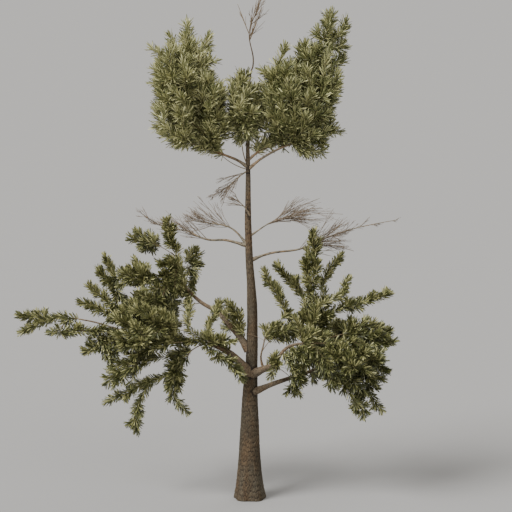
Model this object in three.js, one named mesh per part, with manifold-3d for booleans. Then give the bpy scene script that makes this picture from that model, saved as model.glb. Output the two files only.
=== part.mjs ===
// A pine standing in level ground: trunk, boughs, dead limbs and the masses of its foliage.
// Millimetres, +Z up. The origin is the middle of the trunk's flat cut at ground level, +X is
// the side of the shorter, rounder lower crown, and -Y is the side that the tree is seen from.

import * as THREE from 'three';
import { mergeVertices } from 'three/addons/utils/BufferGeometryUtils.js';
import Module from 'manifold-3d';

const wasm = await Module();
wasm.setup();

// ---- Sizes shared by all pieces ----

const GAP = 0.4; // clearance where one piece is cut round another
const WELD = 0.01; // points nearer than this are one point
const TRUNK_SIDES = 14;
const TRUNK_RINGS = 25;
const RING_CROWDING = 1.15; // above 1 the trunk's rings lie closer together near the ground
const BUTTRESSES = 5; // root flare lobes round the foot
const BUTTRESS_SWELL = 0.11; // how far each lobe stands out, as a share of the radius
const BUTTRESS_HEIGHT = 420; // the lobes fade out over this height
const LIMB_SIDES = 6;
const LIMB_STEP = 350; // length of bough from ring to ring
const LIMB_TAPER = 0.7; // below 1 a bough thins faster near its root than near its tip
const SPRAY_SIDES = 6;
const SPRAY_RINGS = 4;
const CLUMP_SIDES = 9; // a lobe thicker than CLUMP_GIRTH has more facets
const CLUMP_RINGS = 7;
const CLUMP_GIRTH = 340;
const LOBE_BLUNT = 0.75; // below 1 a lobe is blunter at its ends than an ellipsoid
const UNEVEN = 0.13; // how far a mass swells and sinks, as a share of its thickness
const SWELLS = [{ round: 3, along: 5 }, { round: 2, along: -9 }]; // radians of each wave of that

// ---- Trunk: height, sideways place of its middle, radius ----

const TRUNK = [
  [0, 0, 392], [150, 0, 358], [440, -8, 320], [940, -10, 270], [1670, -5, 235], [2650, 0, 182],
  [3300, 45, 148], [3650, 45, 150], [4150, 66, 130], [4870, 52, 126], [5360, 25, 99],
  [5850, -18, 93], [6840, -48, 82], [7330, -46, 70], [8070, -40, 58], [8560, -58, 48],
  [9050, -52, 32], [9550, -48, 28], [10430, 0, 20], [10780, 74, 17], [11020, 60, 15],
  [11270, -12, 13], [11420, -30, 12], [11520, 0, 10], [11880, 98, 7], [12250, 215, 4],
];

// ---- Limbs: where each runs, root first, and its radius at root and tip ----
// A limb roots in the one named by from, and tips in the mass named by into.

const LIVE_BARK = { color: 0x6a5d4d, roughness: 0.9 };
const DEAD_WOOD = { color: 0x7d756a, roughness: 0.85 };

const LIMBS = [
  { name: 'bough_left_low', from: 'trunk', into: 'foliage_left_core_front', bark: LIVE_BARK,
    path: [[20, -40, 3060], [-290, -260, 3420], [-630, -400, 3710], [-1200, -550, 3930],
      [-1750, -620, 4000]], radii: [85, 28] },
  { name: 'bough_left_high', from: 'trunk', into: 'foliage_left_plume', bark: LIVE_BARK,
    path: [[50, 0, 3560], [-240, 50, 3960], [-560, 130, 4300], [-840, 180, 4620],
      [-1230, 200, 4780], [-1480, 210, 5050], [-1690, 220, 5290], [-1770, 260, 5650],
      [-1900, 300, 6180]], radii: [80, 10] },
  { name: 'stem_left_long', from: 'foliage_left_core_front', into: 'foliage_left_long_spray',
    bark: LIVE_BARK, path: [[-3050, -400, 4130], [-3750, -350, 4350], [-4300, -300, 4440]],
    radii: [24, 15] },
  { name: 'bough_right_main', from: 'trunk', into: null, bark: LIVE_BARK,
    path: [[20, -40, 3010], [195, -160, 3130], [440, -290, 3250], [640, -390, 3300]],
    radii: [82, 50] },
  { name: 'bough_right_rise', from: 'bough_right_main', into: 'foliage_right_core_front',
    bark: LIVE_BARK, path: [[600, -370, 3270], [680, -410, 3490], [790, -430, 3670],
      [970, -450, 3810], [1450, -500, 3850]], radii: [46, 26] },
  { name: 'bough_right_low', from: 'trunk', into: 'foliage_right_core_back', bark: LIVE_BARK,
    path: [[0, -20, 2540], [295, -110, 2720], [560, -60, 2810], [840, 60, 2890],
      [1250, 300, 2990], [1850, 600, 3150]], radii: [72, 34] },
  { name: 'stem_right_small', from: 'bough_right_main', into: 'foliage_right_inner',
    bark: LIVE_BARK, path: [[330, -240, 3210], [235, -290, 3470], [345, -290, 3790],
      [370, -260, 4080]], radii: [26, 14] },
  { name: 'bough_top_left', from: 'trunk', into: 'foliage_top_left_inner', bark: LIVE_BARK,
    path: [[0, 0, 8090], [-246, 0, 8290], [-440, -30, 8360], [-690, -60, 8460],
      [-1180, -130, 8640], [-1400, -150, 8900]], radii: [36, 22] },
  { name: 'bough_top_right_high', from: 'trunk', into: 'foliage_top_right_inner',
    bark: LIVE_BARK, path: [[-60, 0, 8290], [123, 20, 8475], [420, 60, 8635],
      [760, 100, 8760], [950, 120, 9000]], radii: [30, 18] },
  { name: 'bough_top_right_low', from: 'trunk', into: 'foliage_top_right_outer',
    bark: LIVE_BARK, path: [[-70, 0, 8050], [148, -30, 8260], [370, -60, 8400],
      [615, -90, 8540], [935, -120, 8660], [1500, -130, 8900]], radii: [34, 20] },
  { name: 'dead_limb_left_high', from: 'trunk', into: null, bark: DEAD_WOOD,
    path: [[-30, 0, 6150], [-270, -20, 6500], [-420, -40, 6640], [-615, -60, 6730],
      [-935, -80, 6740], [-1480, -100, 6830]], radii: [27, 7] },
  { name: 'dead_limb_left_low', from: 'trunk', into: null, bark: DEAD_WOOD,
    path: [[0, 0, 6180], [-295, 10, 6270], [-690, 50, 6370], [-1030, 110, 6325],
      [-1350, 180, 6460], [-1600, 260, 6620], [-1920, 360, 6610], [-2210, 400, 6700],
      [-2740, 420, 7020]], radii: [34, 5] },
  { name: 'dead_limb_left_small', from: 'trunk', into: null, bark: DEAD_WOOD,
    path: [[-40, -40, 6900], [-12, -130, 7070], [-246, -150, 7250], [-370, -150, 7330],
      [-385, -150, 7540]], radii: [16, 7] },
  { name: 'dead_limb_left_top', from: 'trunk', into: null, bark: DEAD_WOOD,
    path: [[-20, 0, 8070], [-295, -40, 7890], [-590, -80, 7600], [-900, -100, 7430]],
    radii: [14, 5] },
  { name: 'dead_limb_right_high', from: 'trunk', into: null, bark: DEAD_WOOD,
    path: [[-80, 0, 6400], [197, -30, 6570], [443, -50, 6750], [762, -70, 6880],
      [1250, -80, 6960]], radii: [20, 6] },
  { name: 'dead_limb_right_low', from: 'trunk', into: null, bark: DEAD_WOOD,
    path: [[-60, 0, 5790], [197, 10, 5930], [615, 60, 6050], [1200, 160, 6100],
      [1770, 300, 6350], [2460, 340, 6600], [3200, 350, 6770], [3740, 350, 6860]],
    radii: [30, 5] },
];

// ---- Foliage: each mass is one or more lobes, from one end to the other ----
// girth is a lobe's half thickness, bow how far its middle is drawn aside, and deep its
// thickness front to back as a share of the rest.

const LOWER_GREEN = { color: 0x565528, roughness: 0.8 };
const UPPER_GREEN = { color: 0x6d6a3a, roughness: 0.8 };

const LOWER_MASSES = {
  foliage_left_core_front: [
    { from: [-3350, -800, 4300], to: [-1690, -700, 4120], girth: 650, deep: 1.1 },
    { from: [-2950, -500, 4950], to: [-2050, -500, 4900], girth: 380 },
    { from: [-2500, -1000, 4350], to: [-2450, -2350, 3950], girth: 300 },
    { from: [-1900, -640, 4030], to: [-1000, -500, 3870], girth: 190 }],
  foliage_left_core_back: [
    { from: [-3400, 850, 4450], to: [-1800, 900, 4250], girth: 720, deep: 1.15 },
    { from: [-2300, 1100, 4500], to: [-2500, 2400, 4900], girth: 320 }],
  foliage_left_core_upper: [
    { from: [-2080, 240, 4420], to: [-2040, 120, 6020], girth: 335 }],
  foliage_left_shoulder: [
    { from: [-3280, -100, 5560], to: [-2250, 50, 5330], girth: 250, deep: 1.6 },
    { from: [-2300, 0, 5450], to: [-2960, 50, 5920], girth: 115 }],
  foliage_left_crest: [
    { from: [-2300, 300, 6050], to: [-2850, 350, 6560], girth: 320 },
    { from: [-2500, 320, 6330], to: [-3110, 300, 6340], girth: 150 },
    { from: [-2080, 200, 5500], to: [-2500, 330, 6180], girth: 70 }],
  foliage_left_plume: [
    { from: [-1840, 290, 5950], to: [-2080, -60, 7000], girth: 175 }],
  foliage_left_inner_plume: [
    { from: [-1500, -500, 4060], to: [-1440, 620, 5600], girth: 135 },
    { from: [-1470, 600, 5250], to: [-1410, 660, 6260], girth: 250 }],
  foliage_left_long_spray: [
    { from: [-4150, -300, 4420], to: [-5680, -250, 4490], girth: 155 },
    { from: [-4800, -290, 4430], to: [-5600, -300, 4080], girth: 105 }],
  foliage_left_long_low: [
    { from: [-3300, -550, 4180], to: [-5030, -450, 4110], girth: 135 }],
  foliage_left_fan_mid: [
    { from: [-3000, 200, 4350], to: [-4290, 60, 4920], girth: 165 },
    { from: [-3000, 250, 4400], to: [-4230, 400, 5260], girth: 165, bow: [0, 0, 60] }],
  foliage_left_fan_high: [
    { from: [-3150, 250, 4600], to: [-3720, 350, 6120], girth: 180, bow: [60, 0, 0] },
    { from: [-3350, 300, 5150], to: [-3860, 330, 5650], girth: 120 }],
  foliage_left_fan_low: [
    { from: [-3050, -450, 4050], to: [-4060, -350, 3520], girth: 165 },
    { from: [-3050, -500, 3900], to: [-3530, -450, 3350], girth: 150 },
    { from: [-3100, -450, 4100], to: [-4010, -380, 3900], girth: 120 }],
  foliage_left_under: [
    { from: [-2350, -550, 3780], to: [-3500, -500, 2850], girth: 270 },
    { from: [-2800, -520, 3220], to: [-2080, -500, 3560], girth: 110 }],
  foliage_left_low_spray: [
    { from: [-1800, -350, 3080], to: [-3650, -280, 2290], girth: 130, bow: [0, 0, 60] },
    { from: [-2640, -280, 2850], to: [-2860, -250, 1580], girth: 165 }],
  foliage_left_drop: [
    { from: [-1740, -550, 3950], to: [-1870, -400, 2460], girth: 220 },
    { from: [-1950, -400, 2650], to: [-1490, -380, 2150], girth: 125 },
    { from: [-1750, -470, 3150], to: [-1240, -540, 3880], girth: 130 }],
  foliage_left_arch: [
    { from: [-1060, -520, 3800], to: [-520, -180, 4930], girth: 125, bow: [-130, 0, 110] }],
  foliage_left_arch_inner: [
    { from: [-260, -60, 3950], to: [-680, -180, 4860], girth: 130, bow: [200, 0, 60] }],
  foliage_left_inner_low: [
    { from: [-1200, -640, 3760], to: [-240, -620, 3850], girth: 130, bow: [0, 0, 120] }],
  foliage_left_droop: [
    { from: [-1130, -700, 3780], to: [-30, -480, 2790], girth: 140, bow: [110, 0, 110] }],
  foliage_right_core_front: [
    { from: [1500, -750, 3450], to: [3300, -650, 3350], girth: 600, deep: 1.15 },
    { from: [2150, -650, 3050], to: [3050, -600, 2750], girth: 400 },
    { from: [2350, -1000, 3500], to: [2300, -2300, 3300], girth: 290 },
    { from: [2350, -600, 3050], to: [1630, -550, 2640], girth: 200 },
    { from: [2800, -600, 3150], to: [3370, -550, 2930], girth: 150 }],
  foliage_right_core_back: [
    { from: [1450, 800, 3550], to: [3450, 850, 3450], girth: 760, deep: 1.15 },
    { from: [2300, 1100, 3600], to: [2500, 2400, 4000], girth: 320 }],
  foliage_right_core_upper: [
    { from: [1250, 0, 3950], to: [1950, 0, 5050], girth: 450 }],
  foliage_right_outer: [
    { from: [2200, 50, 4150], to: [3600, 0, 3900], girth: 350 }],
  foliage_right_plume: [
    { from: [1480, -150, 4750], to: [1620, -150, 6650], girth: 245, bow: [-40, 0, 0] }],
  foliage_right_fan_low: [
    { from: [1160, -250, 4120], to: [210, -300, 5800], girth: 135 },
    { from: [1400, -200, 4300], to: [700, -230, 4540], girth: 140 }],
  foliage_right_fan_high: [
    { from: [1500, 250, 4750], to: [580, 250, 5780], girth: 185 }],
  foliage_right_fan_outer: [
    { from: [1650, 200, 4700], to: [2360, 330, 6010], girth: 125, bow: [-130, 0, 130] }],
  foliage_right_fan_long: [
    { from: [1900, -50, 4600], to: [3520, 0, 5030], girth: 165, bow: [0, 0, -30] },
    { from: [1900, -50, 4600], to: [2500, -80, 5470], girth: 150 }],
  foliage_right_inner: [
    { from: [1350, -250, 4050], to: [230, -200, 4150], girth: 270 }],
  foliage_right_drop: [
    { from: [1560, -450, 3850], to: [880, -300, 2550], girth: 230 },
    { from: [1350, -350, 3500], to: [1130, -300, 2400], girth: 150 }],
  foliage_right_tips: [
    { from: [2350, -550, 3000], to: [2780, -500, 2080], girth: 230 },
    { from: [2700, -500, 2950], to: [3150, -500, 2220], girth: 160 }],
  foliage_right_tuft: [
    { from: [480, -440, 3600], to: [740, -500, 3150], girth: 165 }],
};

const UPPER_MASSES = {
  foliage_top_left_crown: [
    { from: [-1600, -100, 10400], to: [-1530, -100, 11680], girth: 230 },
    { from: [-1600, -100, 10450], to: [-980, -150, 11350], girth: 210 },
    { from: [-1550, -100, 10300], to: [-830, -200, 10790], girth: 220 },
    { from: [-1560, -100, 10800], to: [-1970, -100, 11340], girth: 130 }],
  foliage_top_left_outer: [
    { from: [-1850, -400, 11080], to: [-1720, -400, 8500], girth: 600, deep: 1.15 },
    { from: [-1850, -350, 10650], to: [-2450, -300, 11000], girth: 150 }],
  foliage_top_left_inner: [
    { from: [-1100, -150, 10450], to: [-1060, -150, 8480], girth: 600, deep: 1.1 }],
  foliage_top_left_back: [
    { from: [-1550, 750, 10900], to: [-1450, 750, 8800], girth: 700 }],
  foliage_top_middle_front: [
    { from: [-180, -280, 10450], to: [-130, -260, 8660], girth: 420 }],
  foliage_top_middle_back: [
    { from: [-80, 480, 10350], to: [-60, 480, 8750], girth: 450 }],
  foliage_top_right_inner: [
    { from: [850, -200, 10800], to: [850, -200, 8680], girth: 590, deep: 1.1 },
    { from: [700, -250, 10150], to: [250, -250, 10490], girth: 125 },
    { from: [1000, -250, 10550], to: [720, -250, 11090], girth: 135 },
    { from: [950, -250, 8950], to: [290, -230, 8700], girth: 165 }],
  foliage_top_right_outer: [
    { from: [1600, -50, 11280], to: [1450, -50, 8330], girth: 640, deep: 1.2 },
    { from: [1750, 0, 9200], to: [2340, 0, 8870], girth: 150 }],
  foliage_top_right_back: [
    { from: [1200, 800, 10950], to: [1150, 750, 8850], girth: 700 }],
  foliage_top_right_plume: [
    { from: [1850, -50, 10900], to: [2040, 0, 12080], girth: 210 },
    { from: [1950, 0, 11000], to: [2420, 0, 11800], girth: 170 },
    { from: [1850, -50, 11000], to: [1500, -50, 11580], girth: 150 },
    { from: [1950, 50, 10950], to: [2450, 50, 11170], girth: 170 },
    { from: [1900, 100, 10550], to: [2350, 100, 10900], girth: 170 }],
};

// ---- Shapes ----

/** Value at place t in rows of [t, value, value...], straight between one row and the next. */
function readRow(rows, t) {
  const next = Math.max(1, rows.findIndex((row) => row[0] >= t));
  const [low, high] = [rows[next - 1], rows[next]];
  const share = (t - low[0]) / (high[0] - low[0]);
  return low.map((value, k) => THREE.MathUtils.lerp(value, high[k], share));
}

/** A lathe of unit height about Y, whose profile starts and ends on the axis. */
function turned(radiusAt, placeAt, rings, sides) {
  const profile = [new THREE.Vector2(0, 0)];
  for (let k = 0; k <= rings; k += 1) {
    const radius = radiusAt(k / rings);
    if (radius > 0) profile.push(new THREE.Vector2(radius, placeAt(k / rings)));
  }
  profile.push(new THREE.Vector2(0, 1));
  return new THREE.LatheGeometry(profile, sides);
}

/** Shares a geometry's points between its triangles and turns every face outwards. */
function welded(geometry) {
  geometry.deleteAttribute('normal');
  geometry.deleteAttribute('uv');
  const merged = mergeVertices(geometry, WELD);
  const corner = (n) => new THREE.Vector3().fromBufferAttribute(merged.attributes.position, n);
  let faces = [];
  let volume = 0;
  for (let k = 0; k < merged.index.count; k += 3) {
    const face = [0, 1, 2].map((n) => merged.index.getX(k + n));
    if (new Set(face).size < 3) continue;
    faces.push(face);
    volume += corner(face[0]).dot(corner(face[1]).cross(corner(face[2])));
  }
  if (volume < 0) faces = faces.map(([a, b, c]) => [a, c, b]);
  merged.setIndex(faces.flat());
  merged.computeVertexNormals();
  return merged;
}

/** The solid inside a welded geometry, grown outwards by a margin. */
function solidOf(geometry, margin = 0) {
  const { position, normal } = geometry.attributes;
  const points = new Float32Array(position.count * 3);
  for (let k = 0; k < position.count; k += 1) {
    const point = new THREE.Vector3().fromBufferAttribute(position, k);
    const outward = new THREE.Vector3().fromBufferAttribute(normal, k);
    point.addScaledVector(outward, margin).toArray(points, k * 3);
  }
  const triVerts = new Uint32Array(geometry.index.array);
  return new wasm.Manifold(new wasm.Mesh({ numProp: 3, vertProperties: points, triVerts }));
}

/** The trunk: level rings from the ground cut to the leader's tip, flared at the foot. */
function trunkShape() {
  const height = TRUNK.at(-1)[0];
  const placeAt = (t) => t ** RING_CROWDING;
  const radiusAt = (t) => readRow(TRUNK, placeAt(t) * height)[2];
  const geometry = turned(radiusAt, placeAt, TRUNK_RINGS, TRUNK_SIDES);
  const { position } = geometry.attributes;
  for (let k = 0; k < position.count; k += 1) {
    const z = position.getY(k) * height;
    const angle = Math.atan2(position.getZ(k), position.getX(k));
    const fade = Math.exp(-z / BUTTRESS_HEIGHT);
    const swell = 1 + BUTTRESS_SWELL * fade * Math.sin(BUTTRESSES * angle);
    const [, middle] = readRow(TRUNK, z);
    position.setXYZ(k, middle + position.getX(k) * swell, position.getZ(k) * swell, z);
  }
  return welded(geometry);
}

/** Bends a unit lathe along a curve; shape(offset, angle, t) may alter each point's offset. */
function bent(geometry, curve, rings, shape = (offset) => offset) {
  const frames = curve.computeFrenetFrames(rings);
  const { position } = geometry.attributes;
  for (let k = 0; k < position.count; k += 1) {
    const t = position.getY(k);
    const ring = Math.min(rings - 1, Math.floor(t * rings));
    const share = t * rings - ring;
    const axis = (list) => list[ring].clone().lerp(list[ring + 1], share).normalize();
    const offset = axis(frames.normals).multiplyScalar(position.getX(k));
    offset.addScaledVector(axis(frames.binormals), position.getZ(k));
    const angle = Math.atan2(position.getZ(k), position.getX(k));
    const place = curve.getPointAt(t).add(shape(offset, angle, t));
    position.setXYZ(k, place.x, place.y, place.z);
  }
  return welded(geometry);
}

/** One bough: a tapering round limb through the points of its path. */
function limbShape({ path, radii }) {
  const curve = new THREE.CatmullRomCurve3(path.map((point) => new THREE.Vector3(...point)));
  const rings = Math.ceil(curve.getLength() / LIMB_STEP);
  const radiusAt = (t) => THREE.MathUtils.lerp(radii[0], radii[1], t ** LIMB_TAPER);
  return bent(turned(radiusAt, (t) => t, rings, LIMB_SIDES), curve, rings);
}

/** One lobe of foliage: a rounded, uneven body about a bowed spine. */
function lobeShape({ from, to, girth, bow = [0, 0, 0], deep = 1 }, seed) {
  const [start, end] = [new THREE.Vector3(...from), new THREE.Vector3(...to)];
  const bend = start.clone().add(end).multiplyScalar(0.5);
  bend.addScaledVector(new THREE.Vector3(...bow), 2);
  const curve = new THREE.QuadraticBezierCurve3(start, bend, end);
  const thick = girth > CLUMP_GIRTH;
  const [rings, sides] = thick ? [CLUMP_RINGS, CLUMP_SIDES] : [SPRAY_RINGS, SPRAY_SIDES];
  const radiusAt = (t) => girth * Math.max(0, Math.sin(Math.PI * t)) ** LOBE_BLUNT;
  const placeAt = (t) => (1 - Math.cos(Math.PI * t)) / 2;
  const uneven = (offset, angle, t) => {
    const waves = SWELLS.map(({ round, along }, k) => (
      Math.sin(round * angle + along * t + (k + 1) * seed)));
    offset.multiplyScalar(1 + UNEVEN * waves.reduce((sum, wave) => sum + wave));
    offset.y *= deep;
    return offset;
  };
  return bent(turned(radiusAt, placeAt, rings, sides), curve, rings, uneven);
}

// ---- Cutting the pieces round each other ----

/** Several shapes as one solid, each grown outwards by a margin. */
function joined(shapes, margin = 0) {
  return shapes.map((shape) => solidOf(shape, margin)).reduce((all, one) => all.add(one));
}

/** The largest separate body of a solid. */
function largestBody(solid) {
  return solid.decompose().reduce((best, body) => (body.volume() > best.volume() ? body : best));
}

/** A named mesh of a finished solid. */
function meshOf(name, solid, finish) {
  const { vertProperties, triVerts } = solid.getMesh();
  const geometry = new THREE.BufferGeometry();
  geometry.setAttribute('position', new THREE.BufferAttribute(vertProperties, 3));
  geometry.setIndex(new THREE.BufferAttribute(triVerts, 1));
  geometry.computeVertexNormals();
  const material = new THREE.MeshStandardMaterial({ metalness: 0, ...finish });
  const mesh = new THREE.Mesh(geometry, material);
  mesh.name = name;
  return mesh;
}

// ---- The tree ----

const tree = new THREE.Group();
const cutters = { trunk: joined([trunkShape()], GAP) };
const masses = { ...LOWER_MASSES, ...UPPER_MASSES };
const massShapes = {};
let seed = 0;
for (const [name, lobes] of Object.entries(masses)) {
  massShapes[name] = lobes.map((lobe) => {
    seed += 1;
    return lobeShape(lobe, seed);
  });
  cutters[name] = joined(massShapes[name], GAP);
}

tree.add(meshOf('trunk', joined([trunkShape()]), LIVE_BARK));

// Each limb is cut off at the trunk, at the limbs before it and where it enters its foliage.
const endsIn = {};
for (const limb of LIMBS) {
  const shape = limbShape(limb);
  let solid = joined([shape]).subtract(cutters.trunk);
  for (const earlier of Object.keys(endsIn)) solid = solid.subtract(cutters[earlier]);
  for (const mass of [limb.from, limb.into]) {
    if (mass in massShapes) solid = solid.subtract(cutters[mass]);
  }
  cutters[limb.name] = joined([shape], GAP);
  endsIn[limb.name] = [limb.from, limb.into];
  tree.add(meshOf(limb.name, largestBody(solid), limb.bark));
}

// Each mass is cut round the trunk, the limbs that pass it and the masses made before it.
const before = [];
for (const [name, shapes] of Object.entries(massShapes)) {
  let solid = joined(shapes).subtract(cutters.trunk);
  for (const limb of LIMBS) {
    if (!endsIn[limb.name].includes(name)) solid = solid.subtract(cutters[limb.name]);
  }
  for (const earlier of before) solid = solid.subtract(cutters[earlier]);
  before.push(name);
  tree.add(meshOf(name, largestBody(solid), name in UPPER_MASSES ? UPPER_GREEN : LOWER_GREEN));
}

export default tree;
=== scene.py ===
"""A pine tree standing on a pale studio floor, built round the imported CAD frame.

The trunk and limbs get bark in relief over the CAD's own centrelines. Each mass of foliage is
replaced by shoots that grow on from the limbs by a seeded branching rule and carry needles.
Metres, +Z up, seen along +Y.
"""

import math

import bpy
import numpy as np
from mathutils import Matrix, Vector
from mathutils.bvhtree import BVHTree


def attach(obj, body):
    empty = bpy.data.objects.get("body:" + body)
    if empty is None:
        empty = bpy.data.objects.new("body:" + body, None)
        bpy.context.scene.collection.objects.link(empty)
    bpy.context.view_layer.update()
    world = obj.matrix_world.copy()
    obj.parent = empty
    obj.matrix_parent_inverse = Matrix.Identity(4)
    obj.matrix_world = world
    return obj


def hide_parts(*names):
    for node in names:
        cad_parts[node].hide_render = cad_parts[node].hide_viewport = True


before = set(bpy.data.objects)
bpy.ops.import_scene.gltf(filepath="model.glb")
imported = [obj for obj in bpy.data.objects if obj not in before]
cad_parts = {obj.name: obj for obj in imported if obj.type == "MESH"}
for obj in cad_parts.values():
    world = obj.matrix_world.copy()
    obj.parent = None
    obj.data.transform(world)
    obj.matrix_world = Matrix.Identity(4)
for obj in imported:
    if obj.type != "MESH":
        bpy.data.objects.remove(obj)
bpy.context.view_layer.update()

# ---- Sizes ----

CAMERA_PLACE = (0.15, -23.4, 5.95)
CAMERA_LENS = 66.87

UP = np.array([0.0, 0.0, 1.0])
GOLDEN_ANGLE = math.pi * (3 - math.sqrt(5))

# The limbs, and the node that each of them roots in.
LIMBS = dict.fromkeys((
    "bough_left_low", "bough_left_high", "stem_left_long", "bough_right_main", "bough_right_rise",
    "bough_right_low", "stem_right_small", "bough_top_left", "bough_top_right_high",
    "bough_top_right_low", "dead_limb_left_high", "dead_limb_left_low", "dead_limb_left_small",
    "dead_limb_left_top", "dead_limb_right_high", "dead_limb_right_low"), "trunk")
LIMBS.update(stem_left_long="foliage_left_core_front", bough_right_rise="bough_right_main",
             stem_right_small="bough_right_main")
FEEDS_ONLY = {"stem_left_long": "foliage_left_long_spray"}  # limbs whose shoots keep to one mass
MASSES = sorted(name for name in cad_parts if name.startswith("foliage_"))


def is_dead(limb):
    """True for the limbs that bear bare twigs in place of leafy shoots."""
    return limb.startswith("dead")


def is_upper(mass):
    """True for the masses of the upper crown, whose needles are longer and paler."""
    return mass.startswith("foliage_top_")


def seeded(*words):
    """A random generator of its own for each thing made, the same on every run."""
    return np.random.default_rng(list("/".join(map(str, words)).encode()))


def unit(v):
    """Vectors along the last axis, scaled to length 1."""
    return v / np.maximum(np.linalg.norm(v, axis=-1, keepdims=True), 1e-9)


def smoothstep(low, high, x):
    t = np.clip((x - low) / (high - low), 0, 1)
    return t * t * (3 - 2 * t)


def tangents_of(path):
    return unit(np.gradient(path, axis=0))


def run_along(path):
    """The lengths of a path's pieces, and how far along it each of its points is."""
    gaps = np.linalg.norm(np.diff(path, axis=0), axis=1)
    return gaps, np.concatenate([[0], np.cumsum(gaps)])


def interpolated(wanted, run, rows):
    """Each column of rows, which lie at run, read at the wanted places."""
    return np.stack([np.interp(wanted, run, column) for column in rows.T], 1)


def round_angles(count):
    return np.arange(count) * 2 * math.pi / count


def add_object(name, data):
    made = bpy.data.objects.new(name, data)
    bpy.context.scene.collection.objects.link(made)
    return made


# ---- Materials ----


def linear(red, green, blue):
    """An sRGB colour of 0 to 255 as linear RGBA."""
    parts = [c / 255 for c in (red, green, blue)]
    parts = [c / 12.92 if c <= 0.04045 else ((c + 0.055) / 1.055) ** 2.4 for c in parts]
    return (*parts, 1.0)


def new_material(name):
    material = bpy.data.materials.new(name)
    material.use_nodes = True
    tree = material.node_tree
    return material, tree, tree.nodes["Principled BSDF"]


def needle_material(name, colour):
    """One even green, the tint of the needles that are dealt it."""
    material, _, shader = new_material(name)
    shader.inputs["Base Color"].default_value = linear(*colour)
    shader.inputs["Roughness"].default_value = 0.44
    shader.inputs["Specular IOR Level"].default_value = 0.45
    return material


def feed(tree, socket, value):
    """Links a socket to a (node, output), or sets it to any other value."""
    if isinstance(value, tuple) and isinstance(value[0], bpy.types.Node):
        tree.links.new(value[0].outputs[value[1]], socket)
    else:
        socket.default_value = value


def node(tree, kind, **values):
    """A shader node with its sockets and settings filled in."""
    made = tree.nodes.new(kind)
    for key, value in values.items():
        if key in made.inputs:
            feed(tree, made.inputs[key], value)
        else:
            setattr(made, key, value)
    return made


def ranged(tree, source, side, low, high):
    """A source mapped "From" between low and high to 0 to 1, or "To" them from 0 to 1."""
    values = {"Value": source, f"{side} Min": low, f"{side} Max": high}
    return node(tree, "ShaderNodeMapRange", **values), "Result"


def ramp(tree, source, stops):
    """A source turned into colours, given as (place, colour)."""
    made = node(tree, "ShaderNodeValToRGB", Fac=source)
    while len(made.color_ramp.elements) < len(stops):
        made.color_ramp.elements.new(0.5)
    for element, (place, colour) in zip(made.color_ramp.elements, stops):
        element.position = place
        element.color = colour
    return made, "Color"


def mixed(tree, factor, a, b, blend="MIX"):
    made = node(tree, "ShaderNodeMix", data_type="RGBA", blend_type=blend)
    for key, value in (("Factor", factor), (6, a), (7, b)):
        feed(tree, made.inputs[key], value)
    return made, 2


# What the tint of bark is multiplied by: wide patches of light, and turns of hue.
LIGHT_PATCHES = [(0.3, (0.72, 0.70, 0.66, 1)), (0.7, (1.2, 1.19, 1.16, 1))]
HUE_TURNS = [(0.36, (1.13, 0.96, 0.80, 1)), (0.5, (1.0, 1.0, 0.97, 1)),
             (0.64, (0.92, 1.01, 1.06, 1))]


def bark_material(name, plates, furrow, high_plates, change, grain, scale=1.0,
                  furrowed=(0.05, 0.5), places=(0.34, 0.50, 0.66)):
    """Weathered bark: plate tints that drift over the stem, dark furrows, lighter higher up.

    change is the (low, high) height between which plates turns into high_plates, grain the
    stretch of its mottling along the stem, furrowed the relief between which its furrows'
    colour fades out, and places those of the plates' colours in the mottling.
    """
    material, tree, shader = new_material(name)
    place = node(tree, "ShaderNodeTexCoord"), "Object"
    height = node(tree, "ShaderNodeSeparateXYZ", Vector=place), "Z"
    stretched = node(tree, "ShaderNodeMapping", Vector=place, Scale=(1, 1, grain)), "Vector"

    def noise(size, detail, roughness):
        return node(tree, "ShaderNodeTexNoise", Vector=stretched, Scale=size * scale,
                    Detail=detail, Roughness=roughness), "Fac"

    mottling = noise(48, 6.0, 0.66)
    low, high = (ramp(tree, mottling, [(p, linear(*c)) for p, c in zip(places, colours)])
                 for colours in (plates, high_plates))
    tint = mixed(tree, ranged(tree, height, "From", *change), low, high)
    for drift, stops in ((noise(5.0, 3.0, 0.5), LIGHT_PATCHES), (noise(3.2, 4.0, 0.62), HUE_TURNS)):
        tint = mixed(tree, 1.0, tint, ramp(tree, drift, stops), "MULTIPLY")
    relief = node(tree, "ShaderNodeAttribute", attribute_name="relief"), "Fac"
    tint = mixed(tree, ranged(tree, relief, "From", *furrowed), linear(*furrow), tint)
    feed(tree, shader.inputs["Base Color"], tint)
    shader.inputs["Specular IOR Level"].default_value = 0.25
    feed(tree, shader.inputs["Roughness"], ranged(tree, mottling, "To", 0.75, 0.98))
    specks = node(tree, "ShaderNodeTexVoronoi", Vector=stretched, Scale=58 * scale), "Distance"
    uneven = node(tree, "ShaderNodeMath", operation="ADD")
    feed(tree, uneven.inputs[0], mottling)
    feed(tree, uneven.inputs[1], specks)
    bump = node(tree, "ShaderNodeBump", Height=(uneven, "Value"), Distance=0.006, Strength=0.7)
    feed(tree, shader.inputs["Normal"], (bump, "Normal"))
    return material


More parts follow.
